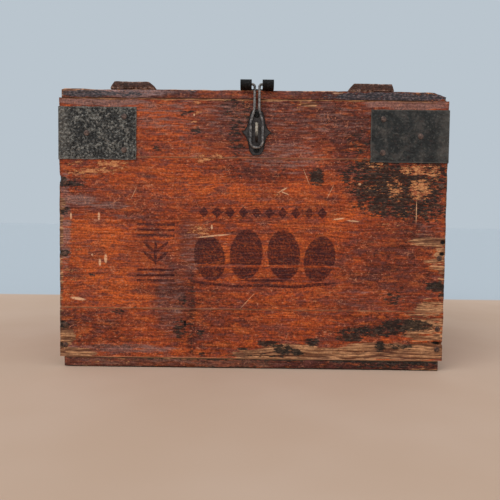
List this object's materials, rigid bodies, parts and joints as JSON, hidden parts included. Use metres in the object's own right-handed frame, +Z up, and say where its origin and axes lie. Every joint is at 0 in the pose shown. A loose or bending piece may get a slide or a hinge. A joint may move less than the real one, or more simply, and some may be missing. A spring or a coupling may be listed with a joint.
{
  "type": "egg carrier crate",
  "caption": "Nailed pine crate with a hinged lid, wire hasp, corner plates and stacked card fillers that hold eggs.",
  "frame": {"origin": "middle of the underside, on the floor that it stands on", "axes": "+X to the right along the long side seen from the front, -Y out of the front, +Z up"},
  "size_m": [0.4034, 0.3275, 0.2983],
  "materials": {
    "wall_pine": "old worn red-brown varnish",
    "lid_pine": "old worn dark varnish",
    "floor_pine": "bare and soiled",
    "filler_board": "grey-brown strawboard",
    "flat_board": "grey-brown strawboard",
    "corner_iron": "rough weathered dark sheet iron",
    "black_iron": "blackened iron",
    "iron_wire": "dark worn wire",
    "nail_iron": "dark rusty nail iron"
  },
  "bodies": {
    "crate": {"back_board_lower": "wall_pine", "back_board_middle": "wall_pine", "back_board_upper": "wall_pine", "back_plate_nails": "nail_iron", "back_wall_nails": "nail_iron", "corner_plate_back_left": "corner_iron", "corner_plate_back_right": "corner_iron", "corner_plate_front_left": "corner_iron", "corner_plate_front_right": "corner_iron", "egg_flat_1": "flat_board", "egg_flat_2": "flat_board", "egg_flat_3": "flat_board", "egg_flat_4": "flat_board", "egg_strips_cross_1": "filler_board", "egg_strips_cross_2": "filler_board", "egg_strips_cross_3": "filler_board", "egg_strips_cross_4": "filler_board", "egg_strips_long_1": "filler_board", "egg_strips_long_2": "filler_board", "egg_strips_long_3": "filler_board", "egg_strips_long_4": "filler_board", "floor_board_back": "floor_pine", "floor_board_front": "floor_pine", "floor_board_middle": "floor_pine", "floor_nails": "nail_iron", "front_board_lower": "wall_pine", "front_board_middle": "wall_pine", "front_board_upper": "wall_pine", "front_plate_nails": "nail_iron", "front_wall_nails": "nail_iron", "hinge_pin_left": "black_iron", "hinge_pin_right": "black_iron", "hinge_wall_leaf_left": "black_iron", "hinge_wall_leaf_right": "black_iron", "hinge_wall_screws": "black_iron", "left_end_board_lower": "wall_pine", "left_end_board_upper": "wall_pine", "left_plate_nails": "nail_iron", "right_end_board_lower": "wall_pine", "right_end_board_upper": "wall_pine", "right_plate_nails": "nail_iron", "staple": "iron_wire", "staple_plate": "black_iron", "staple_plate_screws": "black_iron"},
    "lid": {"batten_left": "lid_pine", "batten_nails": "nail_iron", "batten_right": "lid_pine", "hasp_leaf": "black_iron", "hasp_screws": "black_iron", "hinge_lid_leaf_left": "black_iron", "hinge_lid_leaf_right": "black_iron", "hinge_lid_screws": "black_iron", "lid_board_back": "lid_pine", "lid_board_front": "lid_pine", "lid_board_middle": "lid_pine"},
    "hasp": {"hasp_loop": "iron_wire"}
  },
  "joints": [
    {"name": "lid_hinge", "type": "hinge", "parent": "crate", "child": "lid", "pos_m": [0, 0.157, 0.2927], "axis": [-1, 0, 0], "range_deg": [0, 240]},
    {"name": "hasp_swing", "type": "hinge", "parent": "lid", "child": "hasp", "pos_m": [0.0032, -0.1564, 0.2935], "axis": [-1, 0, 0], "range_deg": [0, 265]}
  ]
}
